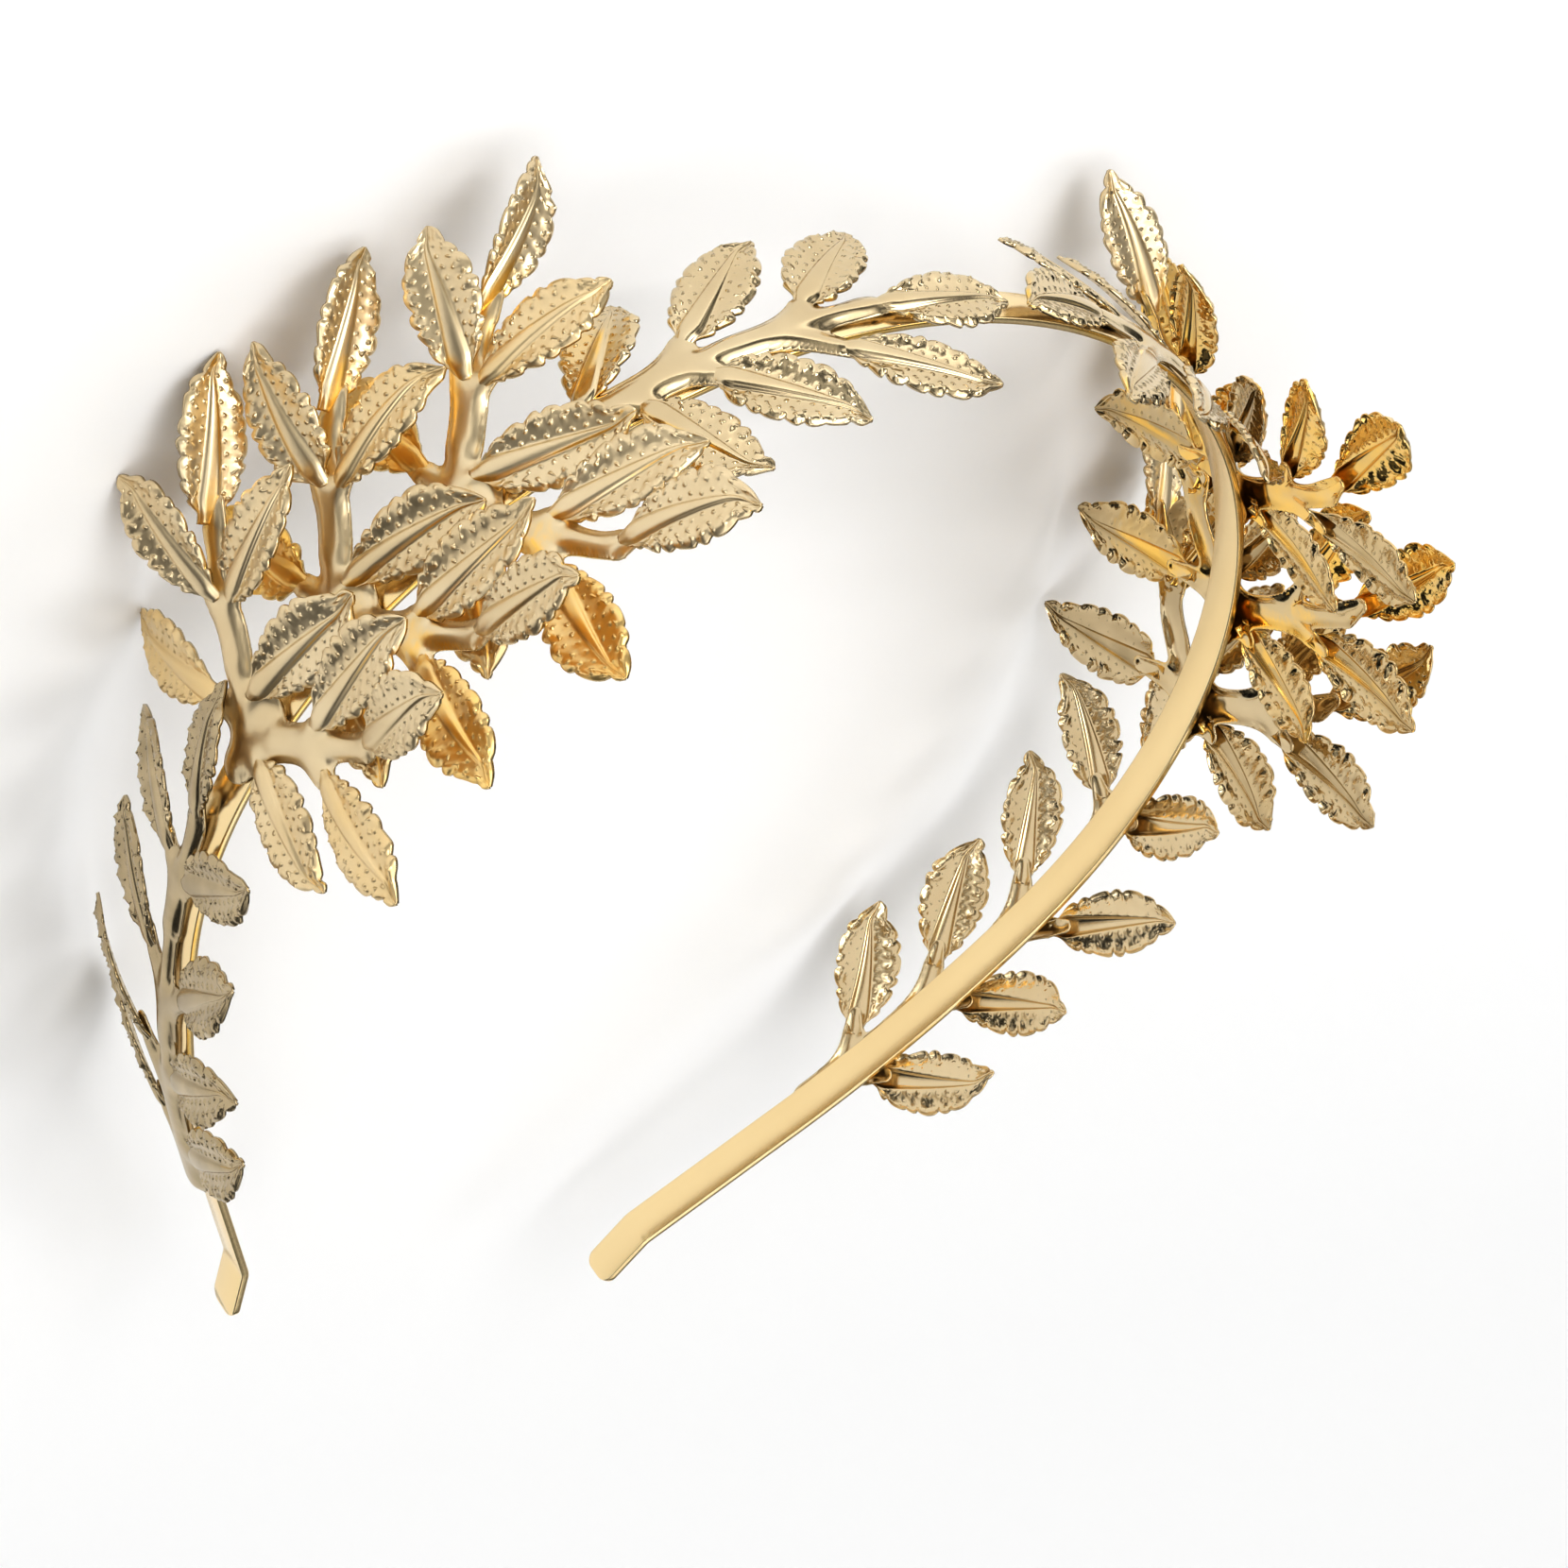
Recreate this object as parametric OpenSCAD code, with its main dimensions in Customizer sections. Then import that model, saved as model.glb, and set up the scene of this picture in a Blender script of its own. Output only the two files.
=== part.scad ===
// Laurel wreath crown: a flat metal headband that carries stamped leaf sprays on its outer face.
// It lies on its back edge, as it would by itself on a table. Millimetres, +Z up, +Y towards the
// top of the head, +X to the wearer's side that lies on the right.

/* [Band] */
// Width of the flat band
band_w = 4.5; // [3.5:0.5:6]
// Thickness of the band
band_t = 0.9; // [0.6:0.1:1.4]
// Inner radius of the bend over the top of the head
top_r = 66; // [62:1:72]
// Angle of that bend on each side
top_angle = 63; // [58:1:66]
// Inner radius of the bend at each temple
temple_r = 56.5; // [53:0.5:62]
// Angle of the bend at each temple
temple_angle = 49; // [44:1:53]
// Inner radius of the slight bend behind each ear
ear_r = 127; // [115:1:140]
// Angle of the slight bend behind each ear
ear_angle = 16.5; // [12:0.5:20]
// Length of the straight run towards each end
arm_l = 21; // [16:1:26]
// Length of the flat tip at each end
tip_l = 7; // [5:0.5:9]
// Angle by which each tip turns outwards
tip_angle = 21.5; // [15:0.5:28]
// Inner radius of the turn at each tip
tip_r = 1.5; // [1:0.5:3]
// Radius of the rounded corners of each end
corner_r = 1.4; // [0.8:0.1:1.7]

/* [Leaves] */
// Length of a leaf blade
leaf_l = 16.5; // [14:0.5:18]
// Width of a leaf blade at its widest
leaf_w = 7.6; // [6:0.2:8.2]
// Thickness of the stamped leaf
leaf_t = 0.5; // [0.4:0.05:0.7]
// Height of the raised midrib above the leaf's margin
rib_h = 0.7; // [0.4:0.1:1.2]
// Width of the raised midrib at the foot of the blade
rib_w = 1.5; // [1:0.1:2]
// Height by which a leaf bows above the line from foot to tip
bow_h = 0.7; // [0.3:0.1:1.2]

/* [Stems] */
// Width of a stem where it leaves the band
stem_w = 3.2; // [2.4:0.1:4]
// Width of a stem at its end leaf
stem_end_w = 1.5; // [1.2:0.1:2]
// Height of a stem above its underside
stem_t = 1.2; // [1:0.05:1.5]
// Length of the stem of a back spray
back_stem_l = 20.5; // [18:0.5:23]
// Length of the stem of a front spray
front_stem_l = 18; // [16:0.5:20]
// Length of the soldering pad under each pair of sprays
pad_l = 6; // [4:0.5:8]
// Clearance between a stamping and the band
seat_gap = 0.15; // [0.1:0.05:0.3]

/* [Places along the band, from the top] */
// First pair of sprays, nearest the ear
spray_1_at = 91; // [89:0.5:93]
// Second pair of sprays
spray_2_at = 76.5; // [75:0.5:78]
// Third pair of sprays, nearest the top
spray_3_at = 59.5; // [58:0.5:61]
// End of each lower branch, towards the band's tip
lower_from = 157.5; // [154:0.5:160]
// End leaf of each lower branch
lower_to = 103.5; // [103:0.5:107]
// Foot of each top branch
upper_from = 52; // [51:0.5:55]
// End leaf of each top branch
upper_to = 17; // [16:0.5:19]
// Distance by which the whole wreath sits towards the left
wreath_shift = 4; // [0:0.5:4]

/* [Hidden] */
SIDES = [["left", -1], ["right", 1]];
SPRAYS = ["1", "2", "3"];
NODES = concat(
    ["band"],
    [for (side = SIDES) each concat(
        [str("lower_branch_", side[0])],
        [for (n = SPRAYS) str("leaf_spray_", n, "_", side[0])],
        [str("top_branch_", side[0])]
    )]
);

gold = [0.86, 0.74, 0.52];
pale_gold = [0.88, 0.8, 0.62];

// Leaf tables. One row is one leaf:
// at: where it leaves the stem, as a share of the stem's length from its foot
// turn: its heading in degrees, 0 towards the top of the head, 90 towards the back
// rise: degrees by which it rises off the band
// roll: degrees by which the blade turns about its own length
// stalk: length of its stalk as a share of leaf_l
// size: its length as a share of leaf_l
AT = 0;
TURN = 1;
RISE = 2;
ROLL = 3;
STALK = 4;
SIZE = 5;

//                  at    turn rise roll stalk size
BACK_LEAVES    = [[0.98,   35,   6,  80, 0.06, 1.00],
                  [0.62,   73,  22, -10, 0.06, 0.94],
                  [0.62,    0,   8,  -5, 0.06, 0.98],
                  [0.08,  103, -10, -15, 0.32, 1.06],
                  [0.16,  -19,   4,  16, 0.08, 1.04]];
FRONT_LEAVES   = [[0.98,  -30,  20,   5, 0.06, 0.94],
                  [0.48,  -11,   8,   5, 0.12, 1.02],
                  [0.48,  -92,   5,  15, 0.26, 1.02],
                  [0.00, -106,  -1,  12, 0.14, 0.95]];
LOWER_LEAVES   = [[1.00,   16,  -1, -12, 0.10, 0.86],
                  [0.88,   58,  -9,  -6, 0.18, 0.94],
                  [0.88,  -49,  -4,   8, 0.08, 0.92],
                  [0.58,   41,  -7,  -4, 0.30, 0.96],
                  [0.56,  -42,  -3, -14, 0.30, 1.00],
                  [0.30,   37,  -1, -12, 0.36, 0.98],
                  [0.34,  -48,  -4, -10, 0.12, 0.96],
                  [0.10,   46,  -7,  -8, 0.28, 1.00],
                  [0.09,  -47,  -6,  -8, 0.18, 1.00]];
UPPER_LEAVES   = [[1.00,   -8,  -3,   4, 0.10, 0.90],
                  [0.77,   38,  -9,   0, 0.22, 0.96],
                  [0.73,  -37,  -9,   2, 0.38, 1.00],
                  [0.38,   38,  -7,   0, 0.28, 1.02],
                  [0.44,  -44,  -8,   4, 0.16, 0.98],
                  [0.11,   48, -10,  -8, 0.10, 0.95],
                  [0.27,  -69,  -4,  -4, 0.10, 0.92]];

// How each pair of sprays was bent on the band, a row for each place from the ear up:
// shift: how far it is moved along the band towards its end, as a share of pad_l
// swing: degrees about the pad, from the top of the head towards the back
// pitch: degrees by which the side towards the top of the head is raised
// lean: degrees by which the side towards the back of the head is raised
SHIFT = 0;
SWING = 1;
PITCH = 2;
LEAN = 3;

//                 shift swing pitch lean
LEFT_BENDS    = [[ 0.00,    1,   -1,   2],
                 [ 0.08,    0,   -2,   0],
                 [ 0.42,   -4,   -5,   2]];
RIGHT_BENDS   = [[ 0.08,    1,   -1,   0],
                 [ 0.08,   -1,    2,  -2],
                 [-0.33,    2,    1,  -1]];

// Blade sections: share of the length, share of the width, share of the midrib's width
BLADE = [[0.00, 0.26, 0.90],
         [0.20, 0.88, 0.80],
         [0.50, 1.00, 0.60],
         [0.82, 0.70, 0.35],
         [1.00, 0.08, 0.03]];

back_turn = 54;
back_rise = 5;
front_turn = -53;
front_rise = 7;
lower_drift = 1;
upper_drift = 0.4;
branch_links = 8;
spray_links = 3;
link_l = 0.4;
pad_flare = 1.2;
pad_step = 0.15;
corner_facets = 48;
facet_angle = 3;
rest_tilt = 7.3;

// The band's middle line on one side, as runs of [radius, length] from the top of the head.
// A radius of 0 is straight and a negative one turns outwards.
function arc_length(r, a) = r * a * PI / 180;
RUNS = [[top_r, arc_length(top_r, top_angle)],
        [temple_r, arc_length(temple_r, temple_angle)],
        [ear_r, arc_length(ear_r, ear_angle)],
        [0, arm_l],
        [-tip_r - band_t, arc_length(tip_r + band_t, tip_angle)],
        [0, tip_l]];

// A state is [x, z, heading], with the heading in degrees turned down from +X
function advance(state, r, l) =
    let (h = state[2])
    r == 0
        ? [state[0] + l * cos(h), state[1] - l * sin(h), h]
        : let (a = l / r * 180 / PI)
          [state[0] + r * (sin(h + a) - sin(h)), state[1] - r * (cos(h) - cos(h + a)), h + a];

function state_at(s, i = 0, state = [0, 0, 0]) =
    i == len(RUNS) - 1 || s <= RUNS[i][1]
        ? advance(state, RUNS[i][0], s)
        : state_at(s - RUNS[i][1], i + 1, advance(state, RUNS[i][0], RUNS[i][1]));

function run_start(i, state = [0, 0, 0], k = 0) =
    k == i ? state : run_start(i, advance(state, RUNS[k][0], RUNS[k][1]), k + 1);

// A placement is [turning matrix, origin]. Its local axes are ahead to the top of the head, across
// to the back and out from the head.
function turn_x(a) = [[1, 0, 0], [0, cos(a), -sin(a)], [0, sin(a), cos(a)]];
function turn_y(a) = [[cos(a), 0, sin(a)], [0, 1, 0], [-sin(a), 0, cos(a)]];
function turn_z(a) = [[cos(a), -sin(a), 0], [sin(a), cos(a), 0], [0, 0, 1]];
function moved(placement, p) = placement[0] * p + placement[1];
function wreath_at(s, side) = s - side * wreath_shift;
function on_band(side, s) =
    let (
        state = state_at(wreath_at(s, side)),
        h = state[2],
        foot = [state[0] + band_t * sin(h), 0, state[1] + band_t * cos(h)]
    )
    [[[-side * cos(h), 0, side * sin(h)], [0, 1, 0], [sin(h), 0, cos(h)]], [side * foot[0], 0, foot[2]]];
function bent(placement, bend) =
    [placement[0] * turn_x(bend[LEAN]) * turn_y(-bend[PITCH]) * turn_z(bend[SWING]), placement[1]];

module put(placement) {
    m = placement[0];
    o = placement[1];
    multmatrix([for (i = [0 : 2]) concat(m[i], [o[i]])]) children();
}

// A stem's points and headings. Leaves leave it near its top.
stem_z = seat_gap + stem_t / 2;
leaf_z = stem_t / 2 - leaf_t / 4;
function heading(turn, rise) = [cos(rise) * cos(turn), cos(rise) * sin(turn), sin(rise)];
function stem_point(turn, rise, l, share) =
    [0, 0, stem_z + pad_step] + share * l * heading(turn, rise);
function mix(a, b, share) = a + (b - a) * share;

// A leaf's sections as rings of eight points, in the frame of its place on the band
function ring(centre, side, up, w, rib, h) = [
    centre - side * w / 2,
    centre - side * rib / 2 + up * h,
    centre + side * rib / 2 + up * h,
    centre + side * w / 2,
    centre + side * w / 2 - up * leaf_t,
    centre + side * rib / 2 + up * (h - leaf_t),
    centre - side * rib / 2 + up * (h - leaf_t),
    centre - side * w / 2 - up * leaf_t
];

function leaf_rings(foot, row) =
    let (
        l = leaf_l * row[SIZE],
        dir = heading(row[TURN], row[RISE]),
        flat_side = [-sin(row[TURN]), cos(row[TURN]), 0],
        flat_up = cross(dir, flat_side),
        side = cos(row[ROLL]) * flat_side + sin(row[ROLL]) * flat_up,
        up = cos(row[ROLL]) * flat_up - sin(row[ROLL]) * flat_side,
        neck = foot + [0, 0, leaf_z],
        base = neck + dir * row[STALK] * leaf_l
    )
    concat(
        [ring(neck, side, up, leaf_w * BLADE[0][1], rib_w * BLADE[0][2], leaf_t / 2)],
        [for (b = BLADE) ring(
            base + dir * l * b[0] + up * bow_h * 4 * b[0] * (1 - b[0]),
            side, up, leaf_w * b[1], rib_w * b[2], rib_h * b[1]
        )]
    );

module leaf(foot, row) {
    rings = leaf_rings(foot, row);
    n = len(rings);
    m = len(rings[0]);
    polyhedron(
        points = [for (r = rings) each r],
        faces = concat(
            [[for (k = [m - 1 : -1 : 0]) k]],
            [for (i = [0 : n - 2], k = [0 : m - 1])
                let (j = (k + 1) % m)
                each [[i * m + k, (i + 1) * m + j, (i + 1) * m + k], [i * m + k, i * m + j, (i + 1) * m + j]]],
            [[for (k = [0 : m - 1]) (n - 1) * m + k]]
        ),
        convexity = 4
    );
}

module link(a, b, wa, wb, turn) {
    hull() {
        translate(a) rotate([0, 0, turn]) cube([link_l, wa, stem_t], center = true);
        translate(b) rotate([0, 0, turn]) cube([link_l, wb, stem_t], center = true);
    }
}

module stem(turn, rise, l) {
    for (i = [0 : spray_links - 1]) {
        a = i / spray_links;
        b = (i + 1) / spray_links;
        link(
            stem_point(turn, rise, l, a), stem_point(turn, rise, l, b),
            mix(stem_w, stem_end_w, a), mix(stem_w, stem_end_w, b), turn
        );
    }
}

// A pair of sprays on one pad. Each leaf is [foot, row] in the pair's own frame.
function bend_of(side, n) = side < 0 ? LEFT_BENDS[n] : RIGHT_BENDS[n];
function pad_placement(side, n) =
    on_band(side, [spray_1_at, spray_2_at, spray_3_at][n] + pad_l * bend_of(side, n)[SHIFT]);
function spray_leaves() = concat(
    [for (row = BACK_LEAVES) [stem_point(back_turn, back_rise, back_stem_l, row[AT]), row]],
    [for (row = FRONT_LEAVES) [stem_point(front_turn, front_rise, front_stem_l, row[AT]), row]]
);

module leaf_spray(side, n) {
    pad = pad_placement(side, n);
    put(pad) for (end = [-1, 1])
        link([0, 0, stem_z], [end * pad_l / 2, 0, stem_z], stem_w * pad_flare, stem_w, 0);
    put(bent(pad, bend_of(side, n))) {
        stem(back_turn, back_rise, back_stem_l);
        stem(front_turn, front_rise, front_stem_l);
        for (one = spray_leaves()) leaf(one[0], one[1]);
    }
}

// A branch runs along the band from one place to another
function branch_placement(side, from, to, share) = on_band(side, mix(from, to, share));

module branch(side, from, to, drift, leaves) {
    for (i = [0 : branch_links - 1]) hull() for (k = [i, i + 1]) {
        share = k / branch_links;
        put(branch_placement(side, from, to, share))
            translate([0, drift, stem_z])
            cube([link_l, mix(stem_w, stem_end_w, share), stem_t], center = true);
    }
    for (row = leaves)
        put(branch_placement(side, from, to, row[AT]))
            leaf([0, drift, stem_z], row);
}

// The band: its inner and outer lines in the plane of the head, drawn out to its width
function steps(run) = run[0] == 0 ? 1 : ceil(run[1] / abs(run[0]) * 180 / PI / facet_angle);
band_line = concat(
    [for (i = [0 : len(RUNS) - 1], k = [0 : steps(RUNS[i]) - 1])
        advance(run_start(i), RUNS[i][0], RUNS[i][1] * k / steps(RUNS[i]))],
    [run_start(len(RUNS))]
);
inside = [for (state = band_line) [state[0], state[1]]];
outside = [for (state = band_line)
    [state[0] + band_t * sin(state[2]), state[1] + band_t * cos(state[2])]];
function reversed(list) = [for (i = [len(list) - 1 : -1 : 0]) list[i]];
function mirrored(list) = [for (p = reversed(list)) if (p[0] > 0) [-p[0], p[1]]];

module corner_cut() {
    translate([tip_l - corner_r, band_w / 2 - corner_r, -band_t])
        linear_extrude(3 * band_t)
        difference() {
            square(2 * corner_r);
            circle(corner_r, $fn = corner_facets);
        }
}

module band() {
    last = run_start(len(RUNS) - 1);
    color(gold)
        difference() {
            rotate([90, 0, 0])
                linear_extrude(band_w, center = true)
                polygon(concat(inside, reversed(outside), mirrored(reversed(outside)), mirrored(inside)));
            for (side = [0, 1], edge = [0, 1])
                mirror([side, 0, 0])
                    translate([last[0], 0, last[1]])
                    rotate([0, last[2], 0])
                    mirror([0, edge, 0])
                    corner_cut();
        }
}

module show(name) {
    if (name == "band") band();
    for (side = SIDES) color(pale_gold) {
        if (name == str("lower_branch_", side[0]))
            branch(side[1], lower_from, lower_to, lower_drift, LOWER_LEAVES);
        if (name == str("top_branch_", side[0]))
            branch(side[1], upper_from, upper_to, upper_drift, UPPER_LEAVES);
        for (n = [0 : len(SPRAYS) - 1])
            if (name == str("leaf_spray_", SPRAYS[n], "_", side[0])) leaf_spray(side[1], n);
    }
}

// At rest the crown lies on the tips of its back leaves. Its points in the worn frame give the
// middle of the box around it and the floor.
REST = turn_x(rest_tilt - 90);
function unit_points(placement, leaves) =
    [for (one = leaves) each [for (r = leaf_rings(one[0], one[1])) each [for (p = r) moved(placement, p)]]];
function branch_points(side, from, to, drift, leaves) =
    [for (row = leaves) each unit_points(branch_placement(side, from, to, row[AT]), [[[0, drift, stem_z], row]])];
worn_points = concat(
    [for (p = concat(inside, outside), x = [-1, 1], y = [-1, 1]) [x * p[0], y * band_w / 2, p[1]]],
    [for (side = [-1, 1], n = [0 : len(SPRAYS) - 1])
        each unit_points(bent(pad_placement(side, n), bend_of(side, n)), spray_leaves())],
    [for (side = [-1, 1]) each branch_points(side, lower_from, lower_to, lower_drift, LOWER_LEAVES)],
    [for (side = [-1, 1]) each branch_points(side, upper_from, upper_to, upper_drift, UPPER_LEAVES)]
);
rest_points = [for (p = worn_points) REST * p];
function lowest(i) = min([for (p = rest_points) p[i]]);
function highest(i) = max([for (p = rest_points) p[i]]);

module rest() {
    middle = [for (i = [0, 1]) (lowest(i) + highest(i)) / 2];
    put([REST, -[middle[0], middle[1], lowest(2)]]) children();
}

for (name = NODES)
    rest() show(name);
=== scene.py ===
"""Laurel wreath crown: polished gold headband with stamped leaf sprays, lying on its leaves."""
import math
import random

import bpy
import numpy as np
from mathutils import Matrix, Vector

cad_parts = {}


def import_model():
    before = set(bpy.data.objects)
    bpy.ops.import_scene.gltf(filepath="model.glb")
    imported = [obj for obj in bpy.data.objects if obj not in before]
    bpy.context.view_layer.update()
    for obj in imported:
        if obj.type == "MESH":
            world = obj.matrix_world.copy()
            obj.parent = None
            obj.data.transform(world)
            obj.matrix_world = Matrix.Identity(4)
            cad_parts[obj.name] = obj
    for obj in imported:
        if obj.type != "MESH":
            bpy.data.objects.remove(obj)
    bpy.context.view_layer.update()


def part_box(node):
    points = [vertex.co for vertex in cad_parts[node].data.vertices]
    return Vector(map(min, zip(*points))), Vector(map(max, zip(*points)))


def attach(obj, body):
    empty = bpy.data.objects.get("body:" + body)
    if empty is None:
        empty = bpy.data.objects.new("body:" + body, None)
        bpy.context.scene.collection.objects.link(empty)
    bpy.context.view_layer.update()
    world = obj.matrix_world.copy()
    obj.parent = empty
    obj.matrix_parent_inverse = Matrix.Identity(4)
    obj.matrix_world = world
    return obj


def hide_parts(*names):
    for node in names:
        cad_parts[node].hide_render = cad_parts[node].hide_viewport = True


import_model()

MM = 0.001

# Camera at the photograph's angle: place in metres, turn in degrees
CAMERA_AT = (-0.34523, 0.20365, 0.32208)
CAMERA_TURN = (-43.417, -35.437, 29.224)
LENS = 108.6
EXPOSURE, GAMMA = 0.12, 0.8
camera_data = bpy.data.cameras.new("camera")
camera_data.sensor_width = 36.0
camera_data.lens = LENS
camera_data.clip_start = 0.02
camera_data.clip_end = 10.0
camera = bpy.data.objects.new("camera", camera_data)
camera.location = CAMERA_AT
camera.rotation_euler = [math.radians(a) for a in CAMERA_TURN]
bpy.context.scene.collection.objects.link(camera)
bpy.context.scene.camera = camera
view_settings = bpy.context.scene.view_settings
view_settings.view_transform = "Standard"
view_settings.exposure = EXPOSURE
view_settings.gamma = GAMMA

# Sizes, as in the part's source, in mm and degrees
BAND_W = 4.5
BAND_T = 0.9
TOP_R, TOP_ANGLE = 66.0, 63.0
TEMPLE_R, TEMPLE_ANGLE = 56.5, 49.0
EAR_R, EAR_ANGLE = 127.0, 16.5
ARM_L = 21.0
TIP_L, TIP_ANGLE, TIP_R = 7.0, 21.5, 1.5
CORNER_R = 1.4
LEAF_L = 16.5
LEAF_W = 7.6
LEAF_T = 0.5
BOW_H = 0.7
STEM_W = 3.2
STEM_END_W = 1.5
STEM_T = 1.2
BACK_STEM_L = 20.5
FRONT_STEM_L = 18.0
PAD_L = 6.0
SEAT_GAP = 0.15
SPRAY_AT = (91.0, 76.5, 59.5)
LOWER_FROM, LOWER_TO = 157.5, 103.5
UPPER_FROM, UPPER_TO = 52.0, 17.0
WREATH_SHIFT = 4.0
PAD_STEP = 0.15
BACK_TURN, BACK_RISE = 54.0, 5.0
FRONT_TURN, FRONT_RISE = -53.0, 7.0
LOWER_DRIFT, UPPER_DRIFT = 1.0, 0.4
REST_TILT = 7.3
STEM_Z = SEAT_GAP + STEM_T / 2
LEAF_Z = STEM_T / 2 - LEAF_T / 4

# Leaf tables: share of the stem, turn, rise, roll, stalk and size
AT, TURN, RISE, ROLL, STALK, SIZE = range(6)
BACK_LEAVES = (
    (0.98, 35, 6, 80, 0.06, 1.00),
    (0.62, 73, 22, -10, 0.06, 0.94),
    (0.62, 0, 8, -5, 0.06, 0.98),
    (0.08, 103, -10, -15, 0.32, 1.06),
    (0.16, -19, 4, 16, 0.08, 1.04),
)
FRONT_LEAVES = (
    (0.98, -30, 20, 5, 0.06, 0.94),
    (0.48, -11, 8, 5, 0.12, 1.02),
    (0.48, -92, 5, 15, 0.26, 1.02),
    (0.00, -106, -1, 12, 0.14, 0.95),
)
LOWER_LEAVES = (
    (1.00, 16, -1, -12, 0.10, 0.86),
    (0.88, 58, -9, -6, 0.18, 0.94),
    (0.88, -49, -4, 8, 0.08, 0.92),
    (0.58, 41, -7, -4, 0.30, 0.96),
    (0.56, -42, -3, -14, 0.30, 1.00),
    (0.30, 37, -1, -12, 0.36, 0.98),
    (0.34, -48, -4, -10, 0.12, 0.96),
    (0.10, 46, -7, -8, 0.28, 1.00),
    (0.09, -47, -6, -8, 0.18, 1.00),
)
UPPER_LEAVES = (
    (1.00, -8, -3, 4, 0.10, 0.90),
    (0.77, 38, -9, 0, 0.22, 0.96),
    (0.73, -37, -9, 2, 0.38, 1.00),
    (0.38, 38, -7, 0, 0.28, 1.02),
    (0.44, -44, -8, 4, 0.16, 0.98),
    (0.11, 48, -10, -8, 0.10, 0.95),
    (0.27, -69, -4, -4, 0.10, 0.92),
)
# How each pair of sprays was bent: a shift along the band in lengths of its pad, and three angles
SHIFT, SWING, PITCH, LEAN = range(4)
LEFT_BENDS = ((0.0, 1, -1, 2), (0.08, 0, -2, 0), (0.42, -4, -5, 2))
RIGHT_BENDS = ((0.08, 1, -1, 0), (0.08, -1, 2, -2), (-0.33, 2, 1, -1))
# What a side, a pair and its front spray add to the seeds of a spray's leaves, and what a side and the
# top branch add to those of a branch
SPRAY_SEEDS, PAIR_SEEDS, FRONT_SEEDS = 100, 20, 10
BRANCH_SEEDS, TOP_SEEDS = 1000, 100
# Leaves that were bent by hand, by seed: curl outwards and further roll. Two are at the left end of the
# lower branch, and one is seen edge-on at the top right
BENT_LEAVES = {1002: (18, 0), 1004: (6, 0), 3101: (6, -9)}

# Painted glow of light passed between the metal: a deeper gold on leaves that lie between others, on top
# and on the underside, its share in each pair of sprays, and that of each pair's stems
BACK_PAINTED_GLOW = ((0.0, 0.3), (0.0, 0.85), (0.15, 0.6), (0.8, 0.1), (0.0, 0.1))
FRONT_PAINTED_GLOW = ((0.0, 0.85), (0.0, 0.85), (0.6, 0.15), (0.3, 0.25))
SPRAY_PAINTED_GLOW = (0.3, 0.95, 0.85)
STEM_PAINTED_GLOW = ((0.0, 0.0), (0.0, 0.1), (0.0, 0.7))
NO_PAINTED_GLOW = (0.0, 0.0)
# Painted shade and gloss of a stamping on top and on the underside: how much painted shade darkens its
# gold, how much glossier than satin, and how much more painted shade lies in its hollows
SPRAY_SHADE_AND_GLOSS = ((0.0, 0.22), (0.0, 0.2), (0.0, 0.6))
TOP_BRANCH_SHADE_AND_GLOSS = ((0.2, 0.15), (0.13, 0.2), (0.0, 0.3))
LOWER_BRANCH_SHADE_AND_GLOSS = {
    # The left lower branch is darkened by painted shade on top and underneath
    "left": ((0.75, 0.7), (0.08, 0.2), (0.0, 0.0)),
    "right": ((0.0, 0.0), (0.12, 0.11), (0.0, 0.0)),
}


# The frame of the band

def arc_length(r, a):
    return r * math.radians(a)


# Runs of the band from its top to its end: radius, or 0 where it is straight, and length
RUNS = (
    (TOP_R, arc_length(TOP_R, TOP_ANGLE)),
    (TEMPLE_R, arc_length(TEMPLE_R, TEMPLE_ANGLE)),
    (EAR_R, arc_length(EAR_R, EAR_ANGLE)),
    (0.0, ARM_L),
    (-TIP_R - BAND_T, arc_length(TIP_R + BAND_T, TIP_ANGLE)),
    (0.0, TIP_L),
)
BAND_L = sum(run[1] for run in RUNS)
OUTLINE_PARTS = 240


def state_at(s):
    """Inner line of the right side at a length from the top: x, z and heading."""
    x = z = h = 0.0
    for i, (r, length) in enumerate(RUNS):
        step = s if i == len(RUNS) - 1 or s <= length else length
        if r == 0.0:
            x, z = x + step * math.cos(h), z - step * math.sin(h)
        else:
            a = step / r
            x, z, h = (
                x + r * (math.sin(h + a) - math.sin(h)),
                z - r * (math.cos(h) - math.cos(h + a)),
                h + a,
            )
        if step == s and (i == len(RUNS) - 1 or s <= length):
            return x, z, h
        s -= length
    return x, z, h


def turn_x(a):
    c, s = math.cos(math.radians(a)), math.sin(math.radians(a))
    return np.array([[1, 0, 0], [0, c, -s], [0, s, c]])


def turn_y(a):
    c, s = math.cos(math.radians(a)), math.sin(math.radians(a))
    return np.array([[c, 0, s], [0, 1, 0], [-s, 0, c]])


def turn_z(a):
    c, s = math.cos(math.radians(a)), math.sin(math.radians(a))
    return np.array([[c, -s, 0], [s, c, 0], [0, 0, 1]])


def on_band(side, s):
    """Placement on the band's outer face: local axes ahead, across and out, and the origin."""
    x, z, h = state_at(s - side * WREATH_SHIFT)
    c, n = math.cos(h), math.sin(h)
    turn = np.array([[-side * c, 0, side * n], [0, 1, 0], [n, 0, c]])
    return turn, np.array([side * (x + BAND_T * n), 0, z + BAND_T * c])


def bent(placement, bend):
    turn, origin = placement
    return turn @ turn_x(bend[LEAN]) @ turn_y(-bend[PITCH]) @ turn_z(bend[SWING]), origin


REST = turn_x(REST_TILT - 90.0)


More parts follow.
